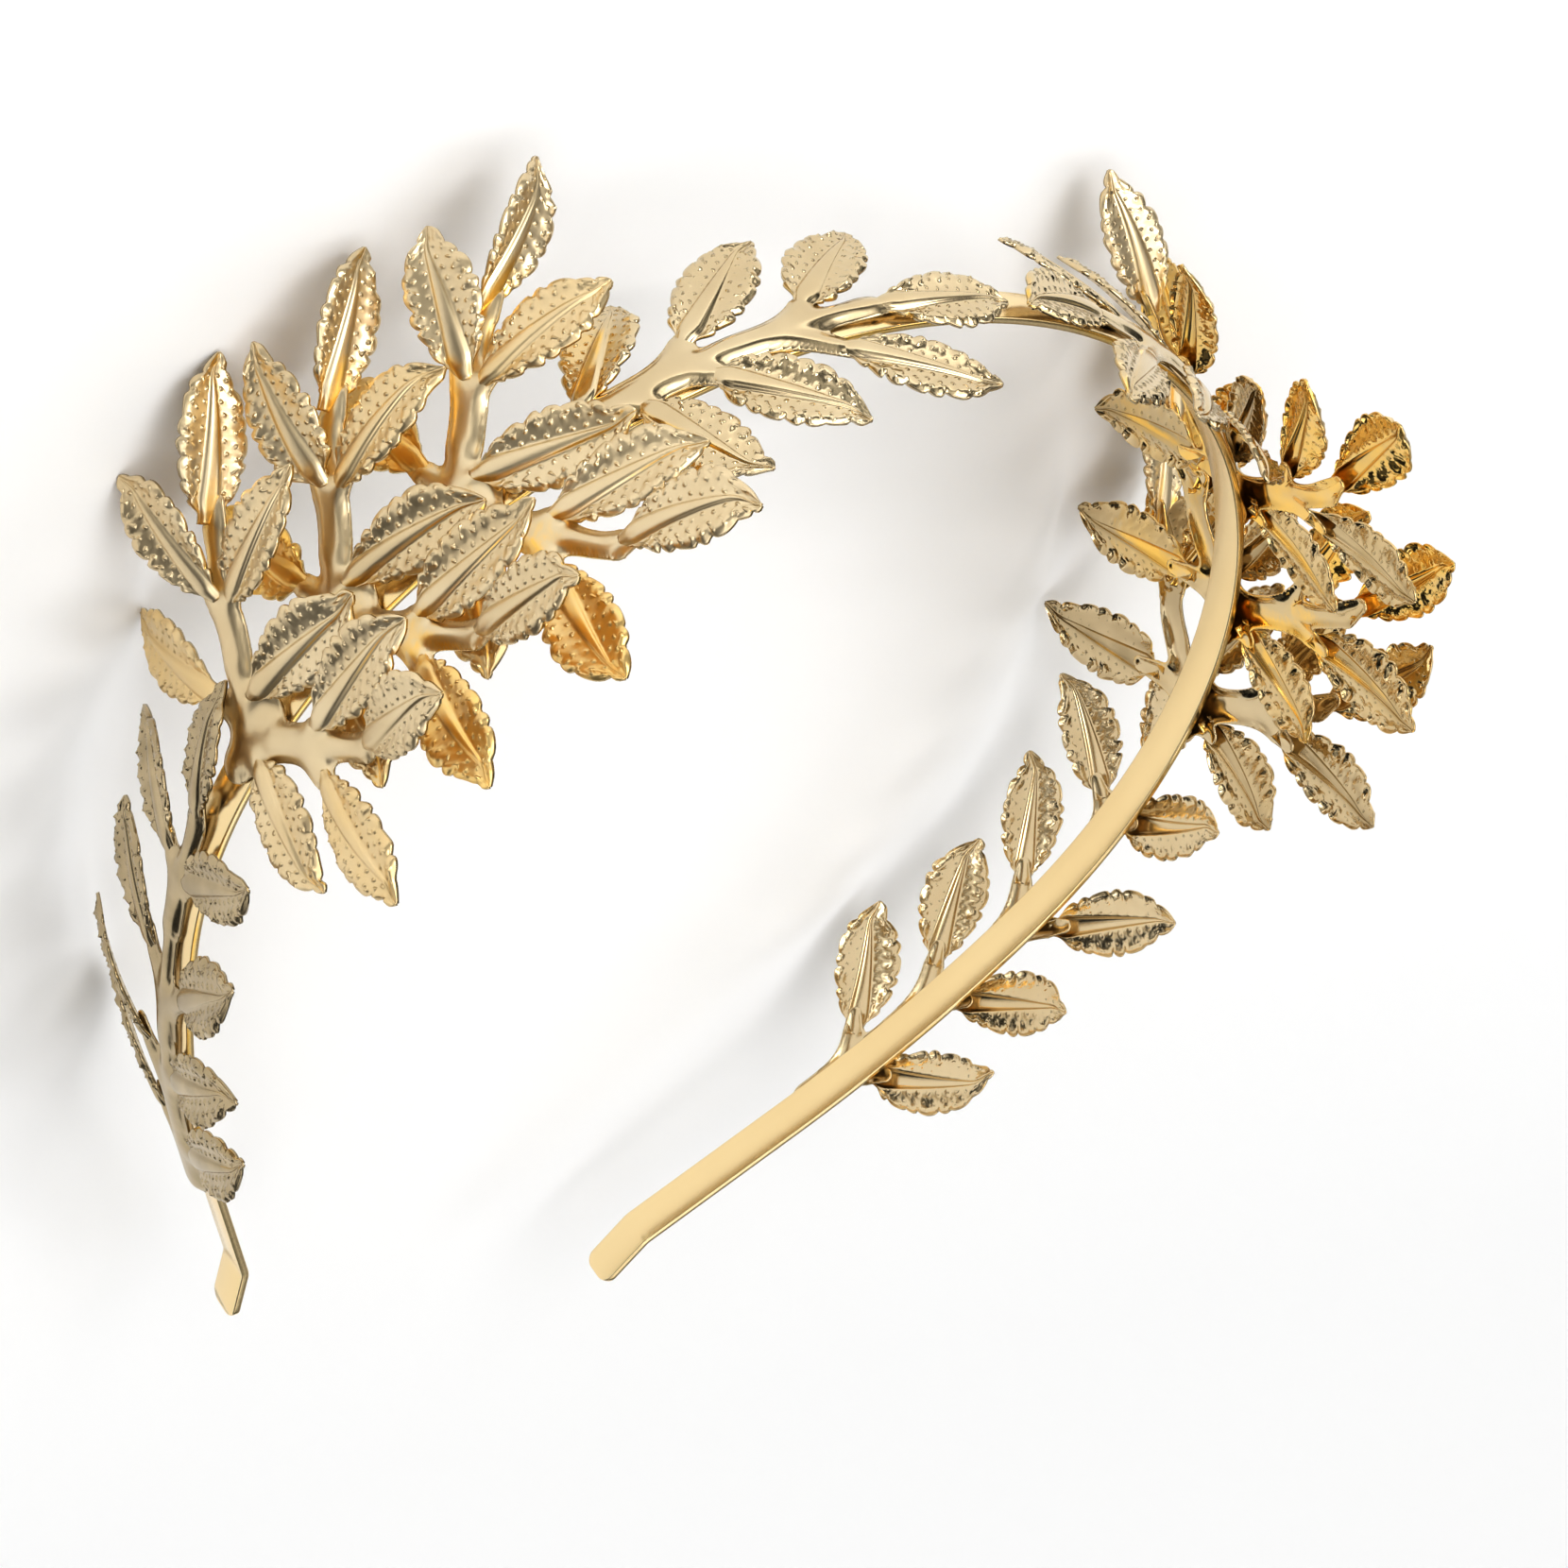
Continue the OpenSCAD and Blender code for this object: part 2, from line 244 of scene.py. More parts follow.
def rest_offset():
    """Where the resting crown lies: the CAD band's box against the band's own line at rest."""
    line = []
    for k in range(OUTLINE_PARTS + 1):
        x, z, h = state_at(BAND_L * k / OUTLINE_PARTS)
        for t in (0.0, BAND_T):
            for y in (-BAND_W / 2, BAND_W / 2):
                for side in (-1, 1):
                    line.append((side * (x + t * math.sin(h)), y, z + t * math.cos(h)))
    line = np.array(line) @ REST.T
    low, high = (np.array(corner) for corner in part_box("band"))
    return (low + high) / 2 / MM - (line.min(0) + line.max(0)) / 2


OFFSET = rest_offset()


def world(points):
    """Points of the worn frame in mm, to metres in the row frame."""
    return (np.asarray(points) @ REST.T + OFFSET) * MM


def heading(turn, rise):
    t, r = math.radians(turn), math.radians(rise)
    return np.array([math.cos(r) * math.cos(t), math.cos(r) * math.sin(t), math.sin(r)])


def smooth(x):
    x = np.clip(x, 0.0, 1.0)
    return x * x * (3.0 - 2.0 * x)


def rising(x, start, span):
    """From 0 at the start to 1 at the end of a span."""
    return smooth((x - start) / span)


def unit(v):
    return v / np.linalg.norm(v)


# Pressed sheet metal

# Marks on its points, for the material: share of a bead's pitch along the blade, distance from the row of
# beads, on the underside or not, painted glow of light passed between the metal (a deeper gold), painted
# shade, and gloss
MARKS = ("bead_along", "bead_off", "under", "depth", "painted_shade", "gloss")


class Stamping:
    """Closed sheets of thin metal, collected in the worn frame and built as one piece."""

    def __init__(self, shade_and_gloss):
        self.shade_and_gloss = shade_and_gloss
        self.points = []
        self.faces = []
        self.marks = []
        self.count = 0

    def add_sheet(self, top, bottom, faces, beads, painted_glows, shaded_hollow=0.0):
        """A sheet from its faces on top: the same faces below, and a wall along every open edge."""
        n = len(top)
        edges = np.stack([faces, np.roll(faces, -1, axis=1)], -1).reshape(-1, 2)
        codes = edges[:, 0] * n + edges[:, 1]
        rim = edges[~np.isin(codes, edges[:, 1] * n + edges[:, 0])]
        wall = np.stack([rim[:, 1], rim[:, 0], rim[:, 0] + n, rim[:, 1] + n], -1)
        self.faces += [part + self.count for part in (faces, faces[:, ::-1] + n, wall)]
        self.points += [top, bottom]
        for under in (0, 1):
            # Each side's painted glow, painted shade and gloss, with more painted shade in the midrib's
            # hollow
            painted_shade, gloss, hollow_shade = (values[under] for values in self.shade_and_gloss)
            marks = np.tile([under, painted_glows[under], painted_shade, gloss], (n, 1))
            marks[:, 2] += hollow_shade * shaded_hollow
            self.marks.append(np.column_stack([beads, marks]))
        self.count += 2 * n

    def build(self, name, node, material):
        points = world(np.concatenate(self.points)).astype(np.float32)
        sizes = np.concatenate([np.full(len(f), f.shape[1], dtype=np.int32) for f in self.faces])
        corners = np.concatenate([f.ravel() for f in self.faces]).astype(np.int32)
        mesh = bpy.data.meshes.new(name)
        mesh.vertices.add(len(points))
        mesh.vertices.foreach_set("co", points.ravel())
        mesh.loops.add(len(corners))
        mesh.loops.foreach_set("vertex_index", corners)
        mesh.polygons.add(len(sizes))
        mesh.polygons.foreach_set("loop_start", np.cumsum(sizes, dtype=np.int32) - sizes)
        mesh.polygons.foreach_set("use_smooth", np.ones(len(sizes), dtype=bool))
        mesh.update(calc_edges=True)
        mesh.validate()
        for mark, values in zip(MARKS, np.concatenate(self.marks).T):
            set_attribute(mesh, mark, values)
        mesh.materials.append(material)
        return place_piece(name, mesh, node)


def set_attribute(mesh, name, values):
    attribute = mesh.attributes.new(name, "FLOAT", "POINT")
    attribute.data.foreach_set("value", values.astype(np.float32))


def place_piece(name, mesh, node):
    piece = bpy.data.objects.new(name, mesh)
    bpy.context.scene.collection.objects.link(piece)
    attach(piece, "root")
    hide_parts(node)
    return piece


# Leaves. Heights and widths in mm, places along a blade as shares of its length

SHEET_T = 0.3
THINNED, RELIEF_FROM, RELIEF_SPAN = 0.65, -0.1, 0.4
ROWS = 66
# Outline of a half blade
FULLNESS = 0.62
NECK_L, NECK_W, NECK_GAIN = 0.16, 0.4, 0.6
TIP_CUT, TIP_REACH = 0.3, (0.75, 0.25)
LEAST_HALF, LEAST_LAMINA = 0.05, 0.08
# Midrib
RIB_W = 2.8
RIB_NECK_W, RIB_NECK_GAIN = 0.55, 0.45
RIB_L, RIB_TAPER, RIB_TAPER_POWER = 0.93, 0.95, 1.15
RIB_SLOPE = 0.6
# Lobes and the teeth of the margin; a wave is its size and pace
LOBES, LOBE_CROWDING = 8, 0.94
LOBE_DRIFT, LOBE_WOBBLE = (0.16, 2.9), (0.4, 2.1)
WAVE_PHASE = 6
LOBE_LEAN, LOBE_DEPTH, LOBE_FULLNESS = 0.4, 0.5, 0.7
LOBE_REACH = (0.3, 0.4)
TOOTH, TOOTH_RISE, TOOTH_FALL, TOOTH_MEAN = 1.2, 0.65, 0.35, 0.4
FULL_LAMINA = 1.6
SUNK, NECK_SUNK, NECK_SUNK_L = 0.1, 0.25, 0.1
# Columns of a half blade: share of the way over the midrib with its height, then on to the margin
RIB_PROFILE = ((0.0, 0.52), (0.35, 0.51), (0.66, 0.42), (0.88, 0.19))
LAMINA_PROFILE = (
    (0.0, -0.02), (0.08, -0.05), (0.19, -0.01), (0.31, 0.06), (0.43, 0.15), (0.55, 0.27),
    (0.67, 0.38), (0.79, 0.40), (0.90, 0.25), (0.97, 0.04), (1.0, -0.04),
)
# Beads
BEAD_COLUMNS = (2, 5, 7)
ROWS_PER_BEAD = 5
BEAD_H, BEAD_R = 0.15, 0.3
BEAD_LIFTS = (0.5, 1.4)
BEAD_WANDER, BEAD_WANDER_PACES = 0.13, (0.5, 0.9)
BEADED_LAMINA = 1.2
NO_BEAD = 9.0
# How leaves differ: width of each half, where they are widest, and how each was bent
HALF_WIDTHS = (0.94, 1.04)
SPREADS = (0.85, 1.3)
CUPS = (-0.02, 0.035)
SWEEPS = (-0.8, 0.8)
HOOKS, HOOK_REACH = (0.4, 1.1), (0.78, 0.22)
DROOPS, DROOP_REACH = (-0.8, 0.4), (0.65, 0.35)
TWISTS, TWIST_FROM = (-14, 14), 0.3
# Hollow of the midrib, and how far and how deep a stalk runs into it
TROUGH_W, TROUGH_TAPER = 0.5, 0.25
STALK_INTO, STALK_BELOW = 0.14, 0.08


def wave(x, size, pace, rng):
    return size * np.sin(x * pace + rng.uniform(0, WAVE_PHASE))


def blade_half(u, spread):
    """Half width of a blade along its length, fullest near its middle and drawn out to a point."""
    body = np.sin(np.pi * u ** spread) ** FULLNESS * (NECK_W + NECK_GAIN * smooth(u / NECK_L))
    return LEAF_W / 2 * body * (1 - TIP_CUT * rising(u, *TIP_REACH)) + LEAST_HALF


def half_blade(u, spread, rng):
    """Distance, height and nearest bead of every point of one half of a blade, rows by columns."""
    half = blade_half(u, spread) * rng.uniform(*HALF_WIDTHS)
    taper = 1 - RIB_TAPER * np.clip(u / RIB_L, 0, 1) ** RIB_TAPER_POWER
    rib = RIB_W / 2 * (RIB_NECK_W + RIB_NECK_GAIN * smooth(u / NECK_L)) * taper
    half = np.maximum(half, rib + LEAST_LAMINA)
    lamina_w = half - rib

    even = u ** LOBE_CROWDING * LOBES + rng.uniform(0, 1)
    pace = even + wave(even, *LOBE_DRIFT, rng)
    wobble = 1 + wave(even, *LOBE_WOBBLE, rng)
    part = np.mod(pace, 1.0)
    tooth = TOOTH * wobble * (part ** TOOTH_RISE * (1 - part) ** TOOTH_FALL - TOOTH_MEAN)

    rows = np.arange(len(u))
    distances, heights = [], []
    for share, height in RIB_PROFILE:
        distances.append(rib * share)
        heights.append(height * taper ** RIB_SLOPE)
    for k, (share, height) in enumerate(LAMINA_PROFILE):
        beaded = k in BEAD_COLUMNS
        shift = BEAD_WANDER * np.sin(rows * rng.uniform(*BEAD_WANDER_PACES)) if beaded else 0.0
        distances.append(rib + lamina_w * share + (tooth * share ** 3 + shift) * smooth(lamina_w))
        lobe = 0.5 - 0.5 * np.cos(2 * np.pi * (pace - LOBE_LEAN * (1 - share)))
        depth = rising(share, *LOBE_REACH)
        column = height * (1 - LOBE_DEPTH * depth * (1 - lobe ** LOBE_FULLNESS * wobble))
        if beaded:
            lift = np.array([rng.uniform(*BEAD_LIFTS) for _ in u])
            column = column + BEAD_H * lift * (rows % ROWS_PER_BEAD == k % ROWS_PER_BEAD)
        heights.append(column * smooth(lamina_w / FULL_LAMINA))
    sunk = SUNK + NECK_SUNK * (1 - smooth(u / NECK_SUNK_L))
    distances = np.stack(distances, 1)

    along, off = np.zeros_like(distances), np.full_like(distances, NO_BEAD)
    for k in BEAD_COLUMNS:
        gap = np.abs(distances - distances[:, [len(RIB_PROFILE) + k]])
        gap[lamina_w < BEADED_LAMINA] = NO_BEAD
        nearer = gap < off
        along = np.where(nearer, ((rows - k % ROWS_PER_BEAD) / ROWS_PER_BEAD)[:, None], along)
        off = np.where(nearer, gap, off)
    off[:, : len(RIB_PROFILE)] = NO_BEAD
    return distances, np.stack(heights, 1) - sunk[:, None], np.stack([along, off], -1)


def add_leaf(stamping, placement, foot, row, painted_glows, seed):
    """A blade with midrib, puffed lobes, beads and toothed margin; returns points of its stalk."""
    rng = random.Random(seed)
    turn, origin = placement
    length = LEAF_L * row[SIZE]
    ahead = heading(row[TURN], row[RISE])
    level = heading(row[TURN] + 90, 0)
    above = np.cross(ahead, level)
    curl, further_roll = (math.radians(a) for a in BENT_LEAVES.get(seed, (0, 0)))
    roll = math.radians(row[ROLL]) + further_roll
    side = math.cos(roll) * level + math.sin(roll) * above
    up = math.cos(roll) * above - math.sin(roll) * level
    neck = foot + np.array([0, 0, LEAF_Z])
    base = neck + ahead * row[STALK] * LEAF_L

    u = np.linspace(0.0, 1.0, ROWS + 1)
    spread = rng.uniform(*SPREADS)
    left_y, left_z, left_beads = half_blade(u, spread, rng)
    right_y, right_z, right_beads = half_blade(u, spread, rng)
    across = np.concatenate([-right_y[:, :0:-1], left_y], 1)
    height = np.concatenate([right_z[:, :0:-1], left_z], 1)
    beads = np.concatenate([right_beads[:, :0:-1], left_beads], 1)

    cup = rng.uniform(*CUPS)
    sweep = rng.uniform(*SWEEPS)
    hook = rng.choice((-1, 1)) * rng.uniform(*HOOKS)
    droop = rng.uniform(*DROOPS)
    twist = np.radians(rng.uniform(*TWISTS) * (u - TWIST_FROM))[:, None]
    # The midrib's hollow, where more painted shade is laid on
    trough = np.exp(-((across / (RIB_W * (TROUGH_W - TROUGH_TAPER * u[:, None]))) ** 2))
    relief = np.clip((height - RELIEF_FROM) / RELIEF_SPAN, 0, 1)
    height = height + cup * across ** 2
    swung = sweep * 2 * u * (1 - u) + hook * rising(u, *HOOK_REACH) ** 2
    across = across + swung[:, None]
    lift = BOW_H * 4 * u * (1 - u) + droop * rising(u, *DROOP_REACH) ** 2
    across, height = (
        across * np.cos(twist) - height * np.sin(twist),
        across * np.sin(twist) + height * np.cos(twist) + lift[:, None],
    )
    bent_by = (curl * u)[:, None, None]
    step = np.diff(u, prepend=0)[:, None, None] * length
    line = base + np.cumsum(step * (ahead * np.cos(bent_by) + up * np.sin(bent_by)), axis=0)
    normal = up * np.cos(bent_by) - ahead * np.sin(bent_by)
    top = line + side * across[..., None] + normal * height[..., None]
    bottom = top - normal * (SHEET_T * (1 - THINNED * relief[..., None]))

    rows, cols = across.shape
    index = np.arange(rows * cols).reshape(rows, cols)
    corners = (index[:-1, :-1], index[1:, :-1], index[1:, 1:], index[:-1, 1:])
    quads = np.stack(corners, -1).reshape(-1, 4)
    top, bottom = ((sheet @ turn.T + origin).reshape(-1, 3) for sheet in (top, bottom))
    stamping.add_sheet(top, bottom, quads, beads.reshape(-1, 2), painted_glows, trough.ravel())
    crest = base + up * (RIB_PROFILE[1][1] - STALK_BELOW)
    into = crest + ahead * length * STALK_INTO
    return [turn @ p + origin for p in (neck, crest, into)]


# Stems, pressed from a grid on the plane of their stamping, in mm

GRID, GRID_MARGIN = 0.27, 3
WEB, WEBS_AWAY = 0.65, 40
LIP = 0.25
NEAR_RIM = 0.02
SOFTENING = 4
CROWN_REACH, LEAST_REACH, CROWN_FULLNESS = 1.1, 0.3, 0.62
STEM_MARGIN = 0.1
STEM_CROWN, STEM_CROWN_POWER = 0.78, 0.4
STALK_W, STALK_EDGE = 2.8, 0.15
STALK_H = 0.6
STALK_POINTS = 13
# A stalk at its fork as a share of its stem, and at its last point: how deep it lies, and its shares of
# the stalk's width and crown
FORK_SHARE = 0.75
END_DROP, END_W, END_CROWN = 0.06, 0.6, 0.9
RISE_LAG = 0.05
# How far before its leaf's foot a stalk forks off: a share of a spray's stem, or mm along a branch
SPRAY_FORK, BRANCH_FORK = 0.24, 5.5
SPRAY_STEM_PARTS, BRANCH_STEM_PARTS = 8, 10
PAD_HALF, PAD_CROWN = 0.62, 0.7
SPRAY_OVERRUN, BRANCH_OVERRUN = 1.02, 1.01
BRANCH_LIFT = 0.05


class Stems:
    """Stems and stalks of one stamping: curves on its plane that flow together at the forks.

    A curve's points hold x, y, the height of its rim, its half width and the height of its crown.
    """

    def __init__(self):
        self.curves = []

    def add(self, curve):
        self.curves.append(np.asarray(curve, dtype=float))

    def field(self, points):
        """Depth inside the joined outline, and rim height, half width and crown height there."""
        total = np.zeros(len(points))
        mixed = np.zeros((len(points), 3))
        rank = np.arange(len(points))
        for curve in self.curves:
            start, step = curve[:-1], np.diff(curve, axis=0)
            run = (step[:, :2] ** 2).sum(1)
            away = points[:, None] - start[:, :2]
            along = np.clip((away * step[:, :2]).sum(-1) / run, 0, 1)
            reached = start + along[..., None] * step
            edge = np.linalg.norm(points[:, None] - reached[..., :2], axis=-1) - reached[..., 3]
            best = edge.argmin(1)
            weight = np.exp(-np.clip(edge[rank, best] / WEB, -WEBS_AWAY, WEBS_AWAY))
            total += weight
            mixed += weight[:, None] * reached[rank, best, 2:]
        return WEB * np.log(total), (mixed / total[:, None]).T

    def add_to(self, stamping, to_worn, painted_glows):
        """Press the stems: a grid cut along their joined outline, rising from it to a round crown."""
        ends = np.concatenate(self.curves)[:, :2]
        low, high = ends.min(0) - GRID_MARGIN, ends.max(0) + GRID_MARGIN
        xs, ys = np.arange(low[0], high[0], GRID), np.arange(low[1], high[1], GRID)
        grid = np.stack(np.meshgrid(xs, ys, indexing="ij"), -1).reshape(-1, 2)
        depth, (rim, half, crown) = self.field(grid)
        rise = np.clip((depth - LIP) / np.maximum(half * CROWN_REACH - LIP, LEAST_REACH), 0, 1)
        height = rim + crown * (1 - (1 - rise) ** 2) ** CROWN_FULLNESS
        soft = height.reshape(len(xs), len(ys))
        for _ in range(SOFTENING):
            for axis in (0, 1):
                soft = (np.roll(soft, 1, axis) + 2 * soft + np.roll(soft, -1, axis)) / 4
        height += (soft.ravel() - height) * smooth(depth / (2 * LIP))
        top, triangles = cut_grid(np.column_stack([grid, height]), len(ys), depth)
        bottom = top - [0, 0, SHEET_T]
        no_beads = np.full((len(top), 2), NO_BEAD)
        stamping.add_sheet(to_worn(top), to_worn(bottom), triangles, no_beads, painted_glows)


def cut_grid(grid, columns, depth):
    """Points and triangles of a grid where the depth is above zero, cut where it is zero."""
    depth = np.where(np.abs(depth) < NEAR_RIM, NEAR_RIM, depth)
    n = len(grid)
    index = np.arange(n).reshape(-1, columns)
    a, b, c, d = index[:-1, :-1], index[1:, :-1], index[1:, 1:], index[:-1, 1:]
    triangles = np.concatenate([np.stack(t, -1).reshape(-1, 3) for t in ((a, b, c), (a, c, d))])
    inside = depth[triangles] > 0
    kept = [triangles[inside.all(1)]]
    cuts = []

    def turned(mask, odd):
        """Triangles with their odd corner first."""
        first = (inside[mask] == odd).argmax(1)
        rank = np.arange(mask.sum())
        return [triangles[mask][rank, (first + k) % 3] for k in range(3)]

    def crossing(p, q):
        """Numbers of the new points between two rows of corners."""
        cuts.append(np.stack([np.minimum(p, q), np.maximum(p, q)], 1))
        return sum(len(cut) for cut in cuts[:-1]) + np.arange(len(p)) + n

    p, q, r = turned(inside.sum(1) == 1, True)
    kept.append(np.stack([p, crossing(p, q), crossing(p, r)], 1))
    p, q, r = turned(inside.sum(1) == 2, False)
    pq, pr = crossing(p, q), crossing(p, r)
    kept += [np.stack([pq, q, r], 1), np.stack([pq, r, pr], 1)]

    pairs, which = np.unique(np.concatenate(cuts), axis=0, return_inverse=True)
    share = depth[pairs[:, 0]] / (depth[pairs[:, 0]] - depth[pairs[:, 1]])
    crossings = grid[pairs[:, 0]] + share[:, None] * (grid[pairs[:, 1]] - grid[pairs[:, 0]])
    corners = np.concatenate(kept)
    corners = np.where(corners < n, corners, which.ravel()[np.maximum(corners - n, 0)] + n)
    used, corners = np.unique(corners, return_inverse=True)
    return np.concatenate([grid, crossings])[used], corners.reshape(-1, 3)


def stem_half(share):
    return (STEM_W + (STEM_END_W - STEM_W) * share) / 2 + STEM_MARGIN


def stem_curve(start, end, rim_start, rim_end, pieces):
    """A straight, tapered stem on the plane of its stamping."""
    curve = []
    for t in np.linspace(0, 1, pieces + 1):
        at = start + (end - start) * t
        half = stem_half(t)
        crown = STEM_T * STEM_CROWN * (half / STEM_W * 2) ** STEM_CROWN_POWER
        curve.append((*at, rim_start + (rim_end - rim_start) * t, half, crown))
    return curve


def stalk_curve(start, start_rim, start_half, ends):
    """A stalk that leaves its stem along the stem's own line and runs into a leaf's midrib."""
    neck, base, into = ends
    first_half, last_half = start_half * FORK_SHARE, STALK_W / 2 - STALK_EDGE
    first_crown = STEM_T * FORK_SHARE
    curve = []
    for t in np.linspace(0, 1, STALK_POINTS):
        at = (1 - t) ** 2 * start + 2 * t * (1 - t) * neck[:2] + t ** 2 * base[:2]
        rim = start_rim + (base[2] - STALK_H - start_rim) * smooth(t * (1 + RISE_LAG) - RISE_LAG)
        half = first_half + (last_half - first_half) * smooth(t)
        curve.append((*at, rim, half, first_crown + (STALK_H - first_crown) * smooth(t)))
    curve.append((*into[:2], into[2] - STALK_H - END_DROP, STALK_W / 2 * END_W, STALK_H * END_CROWN))
    return curve


def spray(side, n):
    """A pair of sprays on their pad: one to the back of the head and one to the front."""
    bend = (LEFT_BENDS if side < 0 else RIGHT_BENDS)[n]
    pad = on_band(side, SPRAY_AT[n] + PAD_L * bend[SHIFT])
    turn, origin = bent(pad, bend)
    stamping, stems = Stamping(SPRAY_SHADE_AND_GLOSS), Stems()
    floor = SEAT_GAP + SHEET_T
    rim = floor + PAD_STEP
    seat = [pad[0] @ np.array([x, 0, floor]) + pad[1] for x in (-PAD_L / 2, PAD_L / 2)]
    seat = [(p - origin) @ turn for p in seat]
    stems.add([(*p, STEM_W * PAD_HALF, STEM_T * PAD_CROWN) for p in seat])
    first_seed = (side + 2) * SPRAY_SEEDS + n * PAIR_SEEDS
    for stem_turn, stem_rise, stem_l, leaves, painted_glows, seed in (
        (BACK_TURN, BACK_RISE, BACK_STEM_L, BACK_LEAVES, BACK_PAINTED_GLOW, first_seed),
        (FRONT_TURN, FRONT_RISE, FRONT_STEM_L, FRONT_LEAVES, FRONT_PAINTED_GLOW, first_seed + FRONT_SEEDS),
    ):
        line = heading(stem_turn, stem_rise) * stem_l
        end = line * SPRAY_OVERRUN
        stems.add(stem_curve(np.zeros(2), end[:2], rim, rim + end[2], SPRAY_STEM_PARTS))
        for i, row in enumerate(leaves):
            foot = np.array([0, 0, STEM_Z + PAD_STEP]) + line * row[AT]
            # Painted glow of this leaf, scaled for its pair
            depth = [d * SPRAY_PAINTED_GLOW[n] for d in painted_glows[i]]
            ends = add_leaf(stamping, (turn, origin), foot, row, depth, seed + i)
            ends = [(p - origin) @ turn for p in ends]
            at = max(row[AT] - SPRAY_FORK, 0.0)
            stems.add(stalk_curve(line[:2] * at, rim + line[2] * at, stem_half(at), ends))
    # The stems take their pair's painted glow
    stems.add_to(stamping, lambda p: p @ turn.T + origin, STEM_PAINTED_GLOW[n])
    return stamping


# Inner line of the band at close stations, to lay a branch flat and to bend it back
LINE_POINTS = 6001
LINE_S = np.linspace(0, BAND_L, LINE_POINTS)
LINE = np.array([state_at(s) for s in LINE_S])


def laid_flat(side, point):
    """A point of the worn frame in the flat frame of a branch: ahead, across and out of the band."""
    x, z, h = LINE.T
    away_x, away_z = side * point[0] - x, point[2] - z
    k = ((away_x - BAND_T * np.sin(h)) ** 2 + (away_z - BAND_T * np.cos(h)) ** 2).argmin()
    out = away_x[k] * math.sin(h[k]) + away_z[k] * math.cos(h[k]) - BAND_T
    return np.array([-LINE_S[k], point[1], out])


def bent_back(side, points):
    """Points of a branch's flat frame, in the worn frame."""
    x, z, h = (np.interp(-points[:, 0], LINE_S, column) for column in LINE.T)
    out = BAND_T + points[:, 2]
    return np.column_stack([side * (x + out * np.sin(h)), points[:, 1], z + out * np.cos(h)])


def branch(side, first, last, drift, leaves, shade_and_gloss, first_seed):
    """A branch along the band, with its leaves to both sides."""
    stamping, stems = Stamping(shade_and_gloss), Stems()
    rim = SEAT_GAP + SHEET_T + BRANCH_LIFT
    start = np.array([side * WREATH_SHIFT - first, drift])
    run = np.array([first - last, 0.0])
    stems.add(stem_curve(start, start + run * BRANCH_OVERRUN, rim, rim, BRANCH_STEM_PARTS))
    for i, row in enumerate(leaves):
        placement = on_band(side, first + (last - first) * row[AT])
        foot = np.array([0, drift, STEM_Z])
        seed = (side + 2) * BRANCH_SEEDS + first_seed + i
        ends = add_leaf(stamping, placement, foot, row, NO_PAINTED_GLOW, seed)
        ends = [laid_flat(side, p) for p in ends]
        at = max(row[AT] - BRANCH_FORK / run[0], 0.0)
        stems.add(stalk_curve(start + run * at, rim, stem_half(at), ends))
    stems.add_to(stamping, lambda p: bent_back(side, p), NO_PAINTED_GLOW)
    return stamping


# The band

# Section in shares of the half width and of the thickness, with its corners broken
BAND_SECTION = (
    (-1, 0.2), (-0.98, 0.06), (-0.93, 0), (0.93, 0), (0.98, 0.06), (1, 0.2),
    (1, 0.8), (0.98, 0.94), (0.93, 1), (-0.93, 1), (-0.98, 0.94), (-1, 0.8),
)
BAND_STATIONS = 260
CORNER_ANGLES = (8, 16, 24, 32, 40, 48, 56, 64, 72, 80, 87)
SHARP_ANGLE = 50


def band_half(s):
    """Half width of the band at a station, less in the rounded corners of its end."""
    into = max(CORNER_R - (BAND_L - s), 0.0)
    return BAND_W / 2 - CORNER_R + math.sqrt(max(CORNER_R ** 2 - into ** 2, 0.0))


def build_band(material):
    places = list(np.linspace(0, BAND_L - CORNER_R, BAND_STATIONS))
    places += [BAND_L - CORNER_R * (1 - math.sin(math.radians(a))) for a in CORNER_ANGLES]
    section = np.array(BAND_SECTION)
    rings = []
    for side, order in ((-1, places[::-1]), (1, places[1:])):
        for s in order:
            x, z, h = state_at(s)
            across, out = section[:, 0] * band_half(s), section[:, 1] * BAND_T
            ring = [side * (x + out * math.sin(h)), across, z + out * math.cos(h)]
            rings.append(np.column_stack(ring))
    m, n = len(section), len(rings)
    faces = [
        (i * m + k, i * m + (k + 1) % m, (i + 1) * m + (k + 1) % m, (i + 1) * m + k)
        for i in range(n - 1) for k in range(m)
    ]
    faces += [tuple(range(m))[::-1], tuple(range((n - 1) * m, n * m))]
    mesh = bpy.data.meshes.new("band_metal")
    mesh.from_pydata(world(np.concatenate(rings)).tolist(), [], faces)
    mesh.polygons.foreach_set("use_smooth", np.ones(len(faces), dtype=bool))
    mesh.set_sharp_from_angle(angle=math.radians(SHARP_ANGLE))
    mesh.materials.append(material)
    return place_piece("band_metal", mesh, "band")


# Painted glow of light passed between the metal: grid on which other metal is looked for, how far in
# front of a point in mm, and how much of it counts as none and as full
WARM_CELL, WARM_MARGIN = 1.5 * MM, 12 * MM
WARM_REACHES = (2.5, 4.0, 5.5, 7.0, 9.0)
WARM_FROM, WARM_TO = 0.7, 2.6
LEAF_PAINTED_GLOW = 0.35


